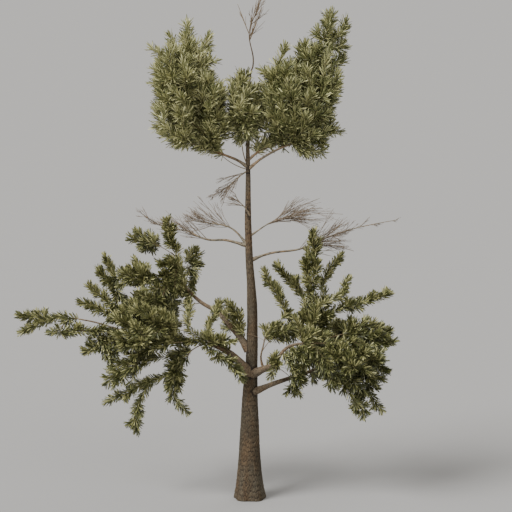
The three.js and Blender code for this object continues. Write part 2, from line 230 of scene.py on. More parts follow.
BARK = bark_material(
    "bark_plated", plates=[(50, 42, 32), (72, 63, 50), (94, 85, 71)], furrow=(32, 25, 19),
    high_plates=[(64, 53, 40), (84, 72, 57), (104, 91, 75)], change=(3.2, 6.8), grain=0.32)
BOUGH = bark_material(
    "bark_smooth", plates=[(78, 65, 51), (102, 88, 72), (126, 112, 95)], furrow=(54, 43, 33),
    high_plates=[(102, 86, 69), (126, 110, 92), (148, 134, 116)], change=(4.2, 7.5), grain=0.6,
    furrowed=(0.0, 0.35))
GREY = [(96, 84, 70), (132, 122, 106), (164, 156, 140)]
DEAD = bark_material(
    "dead_wood_grey", plates=GREY, furrow=(58, 48, 38), high_plates=GREY, change=(0.0, 1.0),
    grain=0.5, scale=2.0, places=(0.30, 0.55, 0.75))


def twig_material(name, colour):
    """Thin bark: an even colour, roughened by nodes."""
    material, tree, shader = new_material(name)
    shader.inputs["Base Color"].default_value = linear(*colour)
    place = node(tree, "ShaderNodeTexCoord"), "Object"
    grain = node(tree, "ShaderNodeTexNoise", Vector=place, Scale=90.0, Detail=3.0), "Fac"
    feed(tree, shader.inputs["Roughness"], ranged(tree, grain, "To", 0.65, 0.95))
    return material


TWIG_BARK = twig_material("twig_bark", (104, 86, 62))
DEAD_TWIG = twig_material("dead_twig_bark", (112, 98, 82))

# ---- Making pieces ----


def make_piece(name, points, faces, material, slot_name, replaced=(), smooth=True, relief=None):
    """A joined mesh of triangles that rides on the tree's one body."""
    mesh = bpy.data.meshes.new(name)
    mesh.from_pydata(points, [], faces)
    mesh.validate()
    mesh.polygons.foreach_set("use_smooth", np.full(len(mesh.polygons), smooth))
    if relief is not None:
        layer = mesh.attributes.new("relief", "FLOAT", "POINT")
        layer.data.foreach_set("value", np.asarray(relief, np.float32))
    mesh.materials.append(material)
    piece = add_object(name, mesh)
    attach(piece, "root")
    if replaced:
        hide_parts(*replaced)


def spokes_along(path, sides):
    """Unit spokes of a ring at each point of a path, which don't twist along it."""
    tangents = tangents_of(path)
    first = np.cross(tangents[0], UP if abs(tangents[0][2]) < 0.9 else np.array([1.0, 0, 0]))
    normals = [unit(first)]
    for tangent in tangents[1:]:
        normals.append(unit(normals[-1] - np.dot(normals[-1], tangent) * tangent))
    normals = np.array(normals)
    angle = round_angles(sides)
    return (np.cos(angle)[None, :, None] * normals[:, None]
            + np.sin(angle)[None, :, None] * np.cross(tangents, normals)[:, None])


def ring_faces(sides_a, start_a, sides_b, start_b):
    """Triangles between two rings, where the second has as many points or half as many."""
    i = np.arange(sides_b)
    j = (i + 1) % sides_b
    if sides_a == sides_b:
        a, b = start_a + i, start_a + j
        c, d = start_b + i, start_b + j
        return np.concatenate([np.stack([a, b, d], 1), np.stack([a, d, c], 1)])
    a, m, b = start_a + 2 * i, start_a + 2 * i + 1, start_a + (2 * i + 2) % sides_a
    c, d = start_b + i, start_b + j
    return np.concatenate([np.stack([a, m, c], 1), np.stack([m, d, c], 1), np.stack([m, b, d], 1)])


def equal_rings(sides, count):
    """The rings, as (number of points, first point), of points that lie ring after ring."""
    return [(sides, k * sides) for k in range(count)]


def skin(rings):
    """Triangles between each ring and the next."""
    return [ring_faces(*a, *b) for a, b in zip(rings, rings[1:])]


def cap(ring, hub, first=False):
    """Triangles that close the first or the last ring to a hub."""
    sides, start = ring
    ends = start + np.arange(sides)
    faces = np.stack([ends, np.roll(ends, -1), np.full(sides, hub)], 1)
    return faces[:, ::-1] if first else faces


def tube(path, radii, sides):
    """A plain tapering tube that closes to a point at its far end."""
    points = path[:, None] + spokes_along(path, sides) * radii[:, None, None]
    points = np.concatenate([points.reshape(-1, 3), path[-1:]])
    rings = equal_rings(sides, len(path))
    return points, np.concatenate([*skin(rings), cap(rings[-1], len(points) - 1)])


def tubes(stems, sides):
    """The tubes along many (path, radii), as the points and triangles of one piece."""
    points, faces, count = [], [], 0
    for path, radii in stems:
        own, triangles = tube(path, radii, sides)
        points.append(own)
        faces.append(triangles + count)
        count += len(own)
    return np.concatenate(points), np.concatenate(faces)


# ---- Reading the CAD ----


PROBE = Vector((0.48, 0.36, 0.80))  # a direction that runs along no edge of the CAD


class Solid:
    """A CAD node: its welded points, its edges and a search tree of its faces."""

    def __init__(self, name):
        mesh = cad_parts[name].data
        mesh.calc_loop_triangles()
        raw = np.empty(len(mesh.vertices) * 3)
        mesh.vertices.foreach_get("co", raw)
        corners = np.empty(len(mesh.loop_triangles) * 3, np.int32)
        mesh.loop_triangles.foreach_get("vertices", corners)
        self.points, back = np.unique(np.round(raw.reshape(-1, 3), 5), axis=0, return_inverse=True)
        self.faces = back.ravel()[corners].reshape(-1, 3)
        pairs = np.sort(self.faces[:, [0, 1, 1, 2, 2, 0]].reshape(-1, 2), axis=1)
        self.edges = np.unique(pairs, axis=0)
        self.tree = BVHTree.FromPolygons(self.points.tolist(), self.faces.tolist())
        self.low, self.high = self.points.min(0), self.points.max(0)

    def holds(self, point):
        """True where a ray from the point leaves the solid an odd number of times."""
        if (point < self.low).any() or (point > self.high).any():
            return False
        place, odd = Vector(point), False
        while True:
            hit = self.tree.ray_cast(place, PROBE)[0]
            if hit is None:
                return odd
            place, odd = hit + PROBE * 1e-4, not odd

    def depth(self, point):
        """How far a point is inside the solid, negative when it is outside."""
        distance = self.tree.find_nearest(Vector(point))[3]
        return distance if self.holds(point) else -distance

    def section(self, place, along, reach):
        """Middle and mean radius of the cut by a plane, looked for within reach of place."""
        a, b = self.points[self.edges[:, 0]], self.points[self.edges[:, 1]]
        height_a, height_b = (a - place) @ along, (b - place) @ along
        crossing = height_a * height_b < 0
        share = height_a[crossing] / (height_a[crossing] - height_b[crossing])
        cuts = a[crossing] + (b - a)[crossing] * share[:, None]
        cuts = cuts[np.linalg.norm(cuts - place, axis=1) < reach]
        if len(cuts) < 4:
            return None
        middle = cuts.mean(0)
        return middle, np.linalg.norm(cuts - middle, axis=1).mean()


def resampled(path, values, step):
    """The path at even steps, values carried along with it, and how far along each step is."""
    _, run = run_along(path)
    even = np.linspace(0, run[-1], max(3, int(round(run[-1] / step)) + 1))
    return interpolated(even, run, path), np.interp(even, run, values), even


def eased(path, passes):
    """The path with its corners rounded off and its ends kept."""
    for _ in range(passes):
        inner = (path[:-2] + 2 * path[1:-1] + path[2:]) / 4
        path = np.concatenate([path[:1], inner, path[-1:]])
    return path


SECTION_STEP = 0.04  # between the cuts that a limb's middle line is read from
SECTION_REACH = 0.22  # what a plane cuts further off than this belongs to another bend
MOST_SECTIONS = 400
END_REACH = 0.5  # the points within this of a limb's tip show its direction there
ROOT_LENGTH = 0.16  # a middle line starts this far inside what the limb roots in
LINE_STEP = 0.05


def centreline(solid, parent):
    """Middle line and radii of a limb, from where it roots to its tip, read off its mesh."""
    away = [-parent.depth(p) for p in solid.points]
    place = solid.points[int(np.argmax(away))]
    near = solid.points[np.linalg.norm(solid.points - place, axis=1) < END_REACH]
    along = unit(near.mean(0) - place)
    places, radii = [], []
    place = place + along * SECTION_STEP * 0.5
    for _ in range(MOST_SECTIONS):
        found = solid.section(place, along, SECTION_REACH)
        if found is None:
            break
        if places:
            along = unit(along * 0.6 + 0.4 * unit(found[0] - places[-1] + along * 0.01))
        places.append(found[0])
        radii.append(found[1])
        place = found[0] + along * SECTION_STEP
    path, radii = np.array(places)[::-1], np.array(radii)[::-1]
    trim = 2 if len(path) > 12 else 1
    path, radii = path[trim:-1], radii[trim:-1]
    root = path[0] - unit(path[2] - path[0]) * ROOT_LENGTH
    path, radii, _ = resampled(np.concatenate([[root], path]), np.append(radii[0], radii),
                               LINE_STEP)
    smooth = np.convolve(np.pad(radii, 4, mode="edge"), np.ones(9) / 9, mode="valid")
    return eased(path, 12), smooth


# ---- Bark relief ----

FAR = 9.0  # more than any distance that is looked at
WAVES = 5
def cell_noise(x, y, columns, rng):
    """Worley noise on a grid that wraps round after columns: nearest and second distance, and
    a random number of the nearest cell."""
    rows = int(np.ceil(y.max())) + 4
    shift = rng.uniform(0.12, 0.88, (columns, rows, 2))
    tone = rng.uniform(0, 1, (columns, rows))
    column, row = np.floor(x).astype(int), np.floor(y).astype(int)
    first = np.full(x.shape, FAR)
    second = np.full(x.shape, FAR)
    nearest = np.zeros(x.shape)
    for dx in (-1, 0, 1):
        for dy in (-1, 0, 1):
            c, r = column + dx, row + dy
            at = shift[c % columns, r % rows]
            gap = np.hypot(c + at[..., 0] - x, r + at[..., 1] - y)
            closer = gap < first
            second = np.where(closer, first, np.minimum(second, gap))
            nearest = np.where(closer, tone[c % columns, r % rows], nearest)
            first = np.where(closer, gap, first)
    return first, second, nearest


def waves(angle, along, rng, turns=4, pitch=1.0):
    """A smooth sum of random waves round and along a stem, roughly from -1 to 1."""
    total = np.zeros(np.broadcast(angle, along).shape)
    for _ in range(WAVES):
        around = rng.integers(1, turns + 1)
        total = total + np.sin(around * angle + rng.uniform(0.4, 1.6) * pitch * along
                               + rng.uniform(0, 2 * math.pi))
    return total / WAVES


TRUNK_PLATES = (0.040, 3.0)  # width of the trunk's plates, and how many times taller they are


def bark_relief(angle, along, girth, rng, plate, tall):
    """Height of the bark from 0 in a furrow to 1 on a plate, by angle and length along."""
    columns = max(5, int(round(girth / plate)))
    x = angle / (2 * math.pi) * columns
    y = along / (plate * tall) + 2
    x = x + 0.28 * waves(angle, along, rng, pitch=9) * columns / 12
    y = y + 0.35 * waves(angle, along, rng, pitch=7)
    first, second, tone = cell_noise(x, y, columns, rng)
    plates = smoothstep(0.02, 0.34, second - first)
    fine = 0.5 + 0.5 * waves(angle * 5, along * 30, rng, turns=6)
    return np.clip(plates * (0.62 + 0.3 * tone) + 0.16 * (fine - 0.5) + 0.06, 0, 1)


# ---- Trunk ----


# Zones of the trunk: where each starts, the step between its rings and the points in a ring.
TRUNK_ZONES = [(0.0, 0.015, 192), (2.2, 0.0135, 96), (6.2, 0.013, 48), (8.7, 0.016, 24)]
TRUNK_GIRTH = 2.1  # that the plates round the trunk are counted on
TRUNK_LEVELS = 90  # heights at which its outline is read
TRUNK_RAYS = 64  # directions in which it is read there
TRUNK_HARMONICS = 8  # that it is rounded to
WHORL = (0.652, 0.0028)  # height and half height of a dark ring, as shares of the trunk's
SCAR = (0.575, 0.014, 0.035)  # height and half height of a scar as shares, and its half width
LEADER_SWAY = (0.055, 0.85, 0.11)  # its size in metres, and its start and length as shares


def sunk_with_collar_shade(relief, ring, roots, height):
    """Bark relief sunk round the limbs' roots and darkened there as painted shade, and sunk into a
    dark ring at a whorl and at a scar.
    """
    # Painted shade: round each limb's root the relief is lowered, which sinks the bark and darkens
    # it to the furrow colour where limb and trunk meet.
    for start, way, radius in roots:
        to = ring - start
        beside = np.linalg.norm(to - (to @ way)[..., None] * way, axis=-1)
        beside = np.where((to @ way > -0.05) & (to @ way < 0.35), beside, FAR)
        relief = relief * (0.25 + 0.75 * smoothstep(1.35 * radius, 2.3 * radius, beside))
    share = ring[..., 2] / height
    relief = relief * (0.1 + 0.9 * smoothstep(0.4, 1.3, np.abs(share - WHORL[0]) / WHORL[1]))
    middle = ring.mean(-2, keepdims=True)
    off = np.hypot((share - SCAR[0]) / SCAR[1], (ring - middle)[..., 0] / SCAR[2])
    off = np.where(ring[..., 1] < middle[..., 1], off, FAR)
    return relief * (0.15 + 0.85 * smoothstep(0.5, 1.2, off))


def trunk_outline(solid, top):
    """The trunk's middles and its radii round about at even heights, read from its solid."""
    levels = np.linspace(0.0, top, TRUNK_LEVELS)
    middles, spokes = [], []
    for z in levels:
        middle, _ = solid.section(np.array([0.0, 0.0, np.clip(z, 0.004, top - 0.01)]), UP, FAR)
        reach = []
        for angle in round_angles(TRUNK_RAYS):
            way = Vector((math.cos(angle), math.sin(angle), 0))
            hit = solid.tree.ray_cast(Vector(middle) + way * 2, -way)[0]
            reach.append((hit - Vector(middle)).length if hit else 0.01)
        harmonics = np.fft.rfft(reach)
        harmonics[TRUNK_HARMONICS:] = 0
        middles.append(middle)
        spokes.append(np.fft.irfft(harmonics, TRUNK_RAYS) * 1.015)
    middles = np.array(middles)
    middles[:, 2] = levels
    return levels, eased(middles, 2), np.array(spokes)


def level_rings(middles, radius, angle):
    """Points of level rings round their middles."""
    return np.stack([middles[:, :1] + radius * np.cos(angle),
                     middles[:, 1:2] + radius * np.sin(angle),
                     np.broadcast_to(middles[:, 2:], radius.shape)], -1)


def trunk_piece(solid, roots):
    """The trunk, with bark plates standing on its CAD outline; returns its line and radii."""
    top = solid.high[2] - 0.005
    levels, middles, spokes = trunk_outline(solid, top)
    starts, steps, sides_of = zip(*TRUNK_ZONES)
    heights = [np.arange(*zone) for zone in zip(starts, (*starts[1:], top), steps)]
    heights = np.concatenate([*heights, [top]])
    zone_of = np.searchsorted(starts, heights, "right") - 1
    line = np.column_stack([interpolated(heights, levels, middles[:, :2]), heights])
    size, first, length = LEADER_SWAY
    phase = np.maximum(heights / top - first, 0) / length
    line[:, 0] += size * np.sin(2 * math.pi * phase) * smoothstep(0, 0.15, phase)
    outline = interpolated(heights, levels, spokes)
    bark_seed = seeded("trunk bark").integers(0, 2**31, 4)
    points, reliefs, rings, count = [], [], [], 0
    for zone, sides in enumerate(sides_of):
        rows = zone_of == zone
        angle = round_angles(sides)
        at = angle / (2 * math.pi) * TRUNK_RAYS
        ray = np.floor(at).astype(int)
        base = (outline[rows][:, ray] * (1 - (at - ray))
                + outline[rows][:, (ray + 1) % TRUNK_RAYS] * (at - ray))
        z = line[rows, 2:]
        angles = np.broadcast_to(angle, base.shape)
        relief = bark_relief(angles, np.broadcast_to(z, base.shape), TRUNK_GIRTH,
                             np.random.default_rng(bark_seed), *TRUNK_PLATES)
        relief = sunk_with_collar_shade(relief, level_rings(line[rows], base, angle), roots, top)
        deep = 0.012 * np.clip(base / 0.25, 0.10, 1.25)
        lumps = 0.02 * waves(angles, z, seeded("trunk lumps"), pitch=5) * base
        own = level_rings(line[rows], base + lumps + deep * (relief - 0.72), angle)
        rings += [(sides, count + start) for _, start in equal_rings(sides, len(own))]
        count += relief.size
        points.append(own.reshape(-1, 3))
        reliefs.append(relief.ravel())
    faces = skin(rings)
    points, reliefs = np.concatenate(points), np.concatenate(reliefs)
    for (sides, start), z, down in ((rings[0], 0.0, True), (rings[-1], top + 0.004, False)):
        faces.append(cap((sides, start), len(points), down))
        middle = points[start:start + sides].mean(0)
        points = np.concatenate([points, [[middle[0], middle[1], z]]])
        reliefs = np.append(reliefs, 0.6)
    make_piece("trunk_bark", points, np.concatenate(faces), BARK, "bark", ["trunk"],
               relief=reliefs)
    return resampled(line, outline.mean(1), 0.08)[:2]


# ---- Limbs ----

STOUTER = {"bough_left_low": 1.45, "bough_left_high": 1.35, "bough_right_main": 1.3}
# For live limbs and for dead ones:
OTHERS_STOUTER = (1.12, 1.3)  # a limb with its bark over its smooth solid
FLARE = ((0.3, 2.0), (0.45, 1.6))  # at the root, and its length in radii
LIMB_PLATES = ((0.05, 2.4), (0.022, 7.0))  # as in TRUNK_PLATES

LIMB_STEP = 0.013  # between rings, and about between the points of a ring


def stouter(name):
    """How many times as thick as its smooth solid a limb with its bark is."""
    return STOUTER.get(name, OTHERS_STOUTER[is_dead(name)])


def limb_piece(name, path, radii):
    """A limb with bark in relief, flared where it roots."""
    dead = is_dead(name)
    rng = seeded(name)
    radii = radii * stouter(name)
    flare, reach = FLARE[dead]
    girth = 2 * math.pi * radii.max()
    sides = int(np.clip(round(girth / LIMB_STEP), 10, 40))
    path, radii, run = resampled(path, radii, LIMB_STEP)
    radii = radii * (1 + flare * np.exp(-np.maximum(run - ROOT_LENGTH, 0) / (reach * radii[0])))
    angles = np.broadcast_to(round_angles(sides), (len(path), sides))
    along = np.broadcast_to(run[:, None], angles.shape)
    relief = bark_relief(angles, along, girth, rng, *LIMB_PLATES[dead])
    lumps = 0.07 * waves(angles, along, rng, pitch=9)
    deep = np.minimum(0.09 * radii[:, None], 0.008)
    radius = radii[:, None] * (1 + lumps) + deep * (relief - 0.7)
    points = (path[:, None] + spokes_along(path, sides) * radius[..., None]).reshape(-1, 3)
    rings, hub = equal_rings(sides, len(path)), len(points)
    faces = [*skin(rings), cap(rings[0], hub, True), cap(rings[-1], hub + 1)]
    make_piece(name + "_bark", np.concatenate([points, path[[0, -1]]]), np.concatenate(faces),
               DEAD if dead else BOUGH, "dead_wood" if dead else "bark", [name],
               relief=np.append(relief.ravel(), [0.5, 0.5]))


# ---- Bare twigs ----

# Fans of twigs: their stem, the shares of its length between which they start, how many there are,
# how long and how thick at the root they grow and the way that they lean.
DEAD_FANS = [
    ("dead_limb_left_high", 0.38, 1.0, 34, 1.00, 0.0105, (-0.45, 0.0, 0.70)),
    ("dead_limb_left_low", 0.36, 1.0, 36, 0.85, 0.0105, (-0.50, 0.0, 0.50)),
    ("dead_limb_left_small", 0.35, 1.0, 9, 0.50, 0.0105, (-0.8, 0.0, -0.1)),
    ("dead_limb_left_top", 0.10, 1.0, 25, 0.78, 0.0105, (-0.4, 0.0, -0.45)),
    ("dead_limb_right_high", 0.42, 1.0, 24, 0.95, 0.0105, (0.6, 0.0, 0.40)),
    ("dead_limb_right_high", 0.38, 0.9, 17, 1.80, 0.0105, (1.1, 0.0, -0.40)),
    ("dead_limb_right_low", 0.32, 0.62, 28, 1.20, 0.0105, (0.6, 0.0, 0.40)),
    ("dead_limb_right_low", 0.36, 0.58, 12, 1.30, 0.0105, (1.0, 0.0, -0.45)),
    ("dead_limb_right_low", 0.62, 1.0, 9, 0.45, 0.0090, (0.6, 0.0, 0.30)),
]
LEADER_FAN = ("trunk", 0.905, 0.99, 16, 0.95, 0.0150, (0.0, 0.0, 0.35))
FAN_SPREAD = (10, 40)  # degrees between a twig and its stem
FORK_SPREAD = (10, 28)  # and between a side twig and its twig
TWIG_STEP = 0.07
TWIG_TIP = 0.0034  # least radius of a bare twig at its tip
FORKS = (2, 2, 0)  # side twigs of a twig, of a side twig and of its own

# Thin bare stems: limb, share of its length, headings at root and tip, length and radii.
THIN_STEMS = [
    ("trunk", 0.664, (-0.42, -0.15, 0.90), (0.05, 0.0, 1.0), 0.78, (0.016, 0.010)),
    ("trunk", 0.655, (-0.95, -0.10, 0.25), (-0.62, 0.0, 0.78), 1.00, (0.013, 0.007)),
    ("trunk", 0.915, (0.40, 0.0, 0.92), (0.25, 0.0, 0.97), 0.90, (0.012, 0.005)),
    ("stem_right_small", 0.55, (0.50, -0.05, 0.85), (0.72, 0.0, 0.69), 0.55, (0.010, 0.006)),
    ("bough_left_high", 0.55, (-0.98, 0.0, -0.10), (-0.95, 0.0, -0.30), 0.52, (0.011, 0.007)),
]
THIN_STEPS = 12  # pieces of such a stem


def grow_twig(made, rng, start, heading, lean, length, radius, order):
    """Adds a bending twig and its side twigs to made, as (path, radii)."""
    steps = max(3, int(length / TWIG_STEP))
    path, way, ways = [start], heading, [heading]
    for _ in range(steps):
        way = unit(way + lean * 0.5 / steps + rng.normal(0, 0.03, 3))
        path.append(path[-1] + way * length / steps)
        ways.append(way)
    radii = np.linspace(radius, max(radius * 0.4, TWIG_TIP), len(path))
    made.append((np.array(path), radii))
    for place in rng.uniform(0.15, 0.75, FORKS[order]):
        k = int(place * steps)
        aside = unit(np.cross(ways[k], rng.normal(0, 1, 3)))
        turn = math.radians(rng.uniform(*FORK_SPREAD))
        grow_twig(made, rng, path[k], ways[k] * math.cos(turn) + aside * math.sin(turn), lean,
                  length * (1 - place) * rng.uniform(0.7, 1.0), radii[k] * 0.72, order + 1)


def fan(made, lines, name, first, last, count, longest, radius, lean):
    """Adds twigs along a stem between two shares of its length, shorter towards the last."""
    rng = seeded("fan", name, first)
    path = lines[name][0]
    lean = np.array(lean)
    tangents = tangents_of(path)
    for place in (np.arange(count) + rng.uniform(0, 1, count)) / count:
        k = min(int((first + (last - first) * place) * len(path)), len(path) - 1)
        aside = rng.normal(0, 1, 3) * (1.0, 0.8, 1.0) + lean * 1.1
        aside = unit(aside - tangents[k] * (aside @ tangents[k]))
        turn = math.radians(rng.uniform(*FAN_SPREAD))
        heading = tangents[k] * math.cos(turn) + aside * math.sin(turn)
        length = longest * rng.uniform(0.55, 1.0) * (1.15 - 0.8 * place)
        grow_twig(made, rng, path[k], heading, lean, length, radius * length / longest, 0)


def bare_twigs(lines):
    """Dead fans, the leader's own twigs and the thin bare stems, as two joined pieces."""
    dead, live = [], []
    for settings in DEAD_FANS:
        fan(dead, lines, *settings)
    fan(live, lines, *LEADER_FAN)
    for limb, share, first, last, length, radii in THIN_STEMS:
        path = lines[limb][0]
        steps = np.linspace(0, 1, THIN_STEPS)[:, None]
        ways = unit(np.array(first) * (1 - steps) + np.array(last) * steps)
        run = np.cumsum(ways, axis=0) * length / THIN_STEPS
        stem = path[int(share * len(path))] + np.concatenate([[[0, 0, 0]], run])
        live.append((stem, np.linspace(*radii, len(stem))))
    make_piece("dead_twigs", *tubes(dead, 5), DEAD_TWIG, "dead_wood")
    make_piece("bare_stems", *tubes(live, 5), TWIG_BARK, "bark")


# ---- Foliage: where shoots have to reach ----

TRIED_POINTS = (1500, 5000)  # least points tried in a mass, and points for each cubic metre
TRIED_SPACE = 2.5  # of its box at most
LEAST_DEPTH = 0.04  # stems stay this far inside a mass
GOOD_DEPTH = 0.095  # and this far where there is room
SPACING = (0.155, 0.26)  # between shoot points, in a thin mass and in a thick one
THICKNESS = (0.12, 0.45)  # greatest depth inside a mass that counts as thin, and as thick
BREADTH_REACH = 0.3  # a mass is as broad at a point as it is deep within this of the point
HOLLOW = 0.12  # shoots of a broad mass keep up to this much further inside it in places
HOLLOW_SIZE = (0.55, 0.95)  # lengths of the waves that say where
HOLLOW_WAVES = 7
HOLLOW_FROM = 0.28  # a mass is broad where it is deeper than this


def hollow_field():
    """Random waves through space: their wave vectors and where each of them starts."""
    rng = seeded("hollows")
    lengths = rng.uniform(*HOLLOW_SIZE, (HOLLOW_WAVES, 1))
    vectors = unit(rng.normal(0, 1, (HOLLOW_WAVES, 3))) * 2 * math.pi / lengths
    return vectors, rng.uniform(0, 2 * math.pi, HOLLOW_WAVES)


HOLLOWS = hollow_field()


def hollow(point, breadth):
    """How much further inside a mass than elsewhere shoots keep at this place."""
    if breadth < HOLLOW_FROM:
        return 0.0
    return HOLLOW * float(np.clip(np.sin(HOLLOWS[0] @ point + HOLLOWS[1]).sum() / 2.2, 0, 1))


def shoot_points(solids):
    """Points spread evenly through the masses, kept to their middles where they are thin, with
    the mass that each is in and how deep that mass is round about."""
    tried, spacing = [], []
    for number, name in enumerate(MASSES):
        solid = solids[name]
        rng = seeded("points", name)
        size = solid.high - solid.low
        count = int(TRIED_POINTS[0] + min(np.prod(size), TRIED_SPACE) * TRIED_POINTS[1])
        places = rng.uniform(solid.low, solid.high, (count, 3))
        depths = np.array([solid.depth(place) for place in places])
        inside, deepest = depths > LEAST_DEPTH, depths.max()
        for place, depth in zip(places[inside], depths[inside]):
            if depth > LEAST_DEPTH + hollow(place, deepest):
                key = min(depth, GOOD_DEPTH) + rng.uniform(0, 0.012)
                tried.append((key, depth, number, *place))
        spacing.append(np.interp(deepest, THICKNESS, SPACING))
    tried = np.array(tried)
    tried = tried[np.argsort(-tried[:, 0], kind="stable")]
    grid, chosen = {}, []
    for row in tried:
        number, point = int(row[2]), row[3:]
        home = tuple(np.floor(point / SPACING[1]).astype(int))
        near = (other for dx in (-1, 0, 1) for dy in (-1, 0, 1) for dz in (-1, 0, 1)
                for other in grid.get((home[0] + dx, home[1] + dy, home[2] + dz), ()))
        if all(math.dist(point, other) >= spacing[number] for other in near):
            grid.setdefault(home, []).append(point)
            chosen.append((number, *point))
    chosen = np.array(chosen)
    points, masses = chosen[:, 1:], chosen[:, 0].astype(int)
    breadth = np.zeros(len(points))
    for i, (point, mass) in enumerate(zip(points, masses)):
        near = np.linalg.norm(tried[:, 3:] - point, axis=1) < BREADTH_REACH
        breadth[i] = tried[near & (tried[:, 2] == mass), 1].max()
    return points, masses, breadth


# ---- Foliage: how shoots branch ----

BALANCE = 0.45  # how much a short way back to the trunk counts against a short new length
STRAIGHTNESS = 1.3  # how much a bend counts against a new length
LIMB_STRAIGHTNESS = 0.35  # and how much one between a limb and its shoot
SIDE_COST = 0.9  # metres that a shoot from the side of a limb counts as longer than from its end
OTHER_MASS = 1.6  # a new length that crosses from one mass to another counts as this much longer
STEM_STEP = 0.05  # between a stem's rings
LIMB_SHARE = 0.85  # of its limb's radius is the most that a shoot's may be
TIP_RADIUS = 0.0042
TIP_REACH = 0.03  # a stem runs on this far past its last point
PIPE_POWER = 0.42  # a stem's radius grows with the tips that it carries to this power


def reached(points, place, heading):
    """How far points are from a place, and how far off a heading, from 0 ahead to 2 behind."""
    to = points - place
    gap = np.linalg.norm(to, axis=1)
    return gap, 1 - (to @ heading) / np.maximum(gap, 1e-6)


def branch(points, masses, seeds):
    """Joins each point to a seed or to an earlier point, nearest and straightest first.

    A seed feeds one mass, or all of them where that is -1. Returns each point's parent, where a
    number below zero is a seed, counted from -1, the order of joining and the points' headings.
    """
    count = len(points)
    cost = np.full(count, np.inf)
    parent = np.zeros(count, int)
    way = np.zeros((count, 3))
    length = np.zeros(count)
    joined = np.zeros(count, bool)

    def offer(number, new, open_to):
        better = open_to & (new < cost)
        cost[better] = new[better]
        parent[better] = number

    for k, (place, heading, _, least, only) in enumerate(zip(*seeds)):
        gap, turn = reached(points, place, heading)
        offer(-1 - k, least + gap * (1 + LIMB_STRAIGHTNESS * turn), (only < 0) | (masses == only))
    order = []
    for _ in range(count):
        i = int(np.argmin(np.where(joined, np.inf, cost)))
        joined[i] = True
        order.append(i)
        if parent[i] < 0:
            start, before = seeds[0][-1 - parent[i]], 0.0
        else:
            start, before = points[parent[i]], length[parent[i]]
        step = points[i] - start
        size = np.linalg.norm(step)
        way[i] = step / max(size, 1e-6)
        length[i] = before + size
        gap, turn = reached(points, points[i], way[i])
        new = gap * (1 + STRAIGHTNESS * turn) * np.where(masses == masses[i], 1.0, OTHER_MASS)
        offer(i, new + BALANCE * length[i], ~joined)
    return parent, order, way


def curve_through(knots, start_way, step):
    """A Catmull-Rom curve through knots that leaves along start_way, at even steps."""
    first = knots[0] - start_way * np.linalg.norm(knots[1] - knots[0])
    last = 2 * knots[-1] - knots[-2]
    full = np.concatenate([[first], knots, [last]])
    out, shares = [], []
    for k in range(1, len(full) - 2):
        p0, p1, p2, p3 = full[k - 1:k + 3]
        pieces = max(2, int(math.ceil(np.linalg.norm(p2 - p1) / step)))
        for t in np.arange(pieces) / pieces:
            out.append(0.5 * (2 * p1 + (p2 - p0) * t + (2 * p0 - 5 * p1 + 4 * p2 - p3) * t * t
                              + (3 * p1 - p0 - 3 * p2 + p3) * t ** 3))
            shares.append(k - 1 + t)
    out.append(full[-2])
    shares.append(len(knots) - 1)
    return np.array(out), np.array(shares)


def shoots_of(points, masses, breadth, parent, order, way, seeds):
    """Chains of points as smooth stems: (path, radii, tips carried, numbers of the masses just
    before and after, breadth of those)."""
    tips = np.zeros(len(points))
    children = {}
    for i in reversed(order):
        tips[i] = max(tips[i], 1)
        if parent[i] >= 0:
            tips[parent[i]] += tips[i]
            children.setdefault(parent[i], []).append(i)
    thick = TIP_RADIUS * tips ** PIPE_POWER
    starts = [i for i in order if parent[i] < 0]
    stems = []
    while starts:
        i = starts.pop(0)
        if parent[i] < 0:
            start, heading, radius = (column[-1 - parent[i]] for column in seeds[:3])
            limit = radius * LIMB_SHARE
        else:
            start, heading, limit = (column[parent[i]] for column in (points, way, thick))
        chain = [i]
        while i in children:
            straight = [tips[c] * (1.2 + way[c] @ way[i]) for c in children[i]]
            main = children[i][int(np.argmax(straight))]
            starts.extend(c for c in children[i] if c != main)
            chain.append(main)
            i = main
        knots = np.concatenate([[start], points[chain]])
        knots[-1] += unit(knots[-1] - knots[-2]) * TIP_REACH
        leaving = unit(heading * 0.5 + 0.5 * unit(knots[1] - knots[0]))
        path, shares = curve_through(knots, leaving, STEM_STEP)
        own = [chain[0], *chain]
        radii, carried, broad = (np.interp(shares, np.arange(len(own)), values) for values in
                                 (np.minimum(thick[own], limit), tips[own], breadth[own]))
        held = masses[chain]
        within = [held[np.clip(rounded(shares).astype(int) - 1, 0, len(held) - 1)]
                  for rounded in (np.floor, np.ceil)]
        stems.append((path, radii, carried, np.stack(within, 1), broad))
    return stems


# Leafy shoots on bare boughs: between which shares of it, how many, their greatest length, how
# steeply they rise or hang and the mass whose needles they bear.
BOUGH_SHOOTS = [
    ("bough_top_right_high", 0.28, 0.98, 16, 0.30, (0.3, 0.9), "foliage_top_right_inner"),
    ("bough_top_left", 0.72, 0.98, 5, 0.26, (0.3, 0.9), "foliage_top_left_inner"),
    ("bough_left_high", 0.10, 0.34, 8, 0.36, (0.3, 0.9), "foliage_left_arch_inner"),
    ("bough_left_high", 0.68, 0.87, 11, 0.40, (-0.6, 0.8), "foliage_left_core_upper"),
    ("bough_left_low", 0.60, 0.95, 5, 0.26, (0.3, 0.9), "foliage_left_arch"),
    ("bough_right_main", 0.70, 0.90, 2, 0.24, (0.2, 0.9), "foliage_right_drop"),
    ("bough_right_rise", 0.30, 0.95, 8, 0.55, (-2.2, -0.4), "foliage_right_drop"),
    ("bough_right_rise", 0.90, 0.99, 9, 0.60, (-0.7, 1.3), "foliage_right_drop"),
    ("bough_right_low", 0.90, 0.99, 3, 0.34, (-0.6, 1.4), "foliage_right_drop"),
]


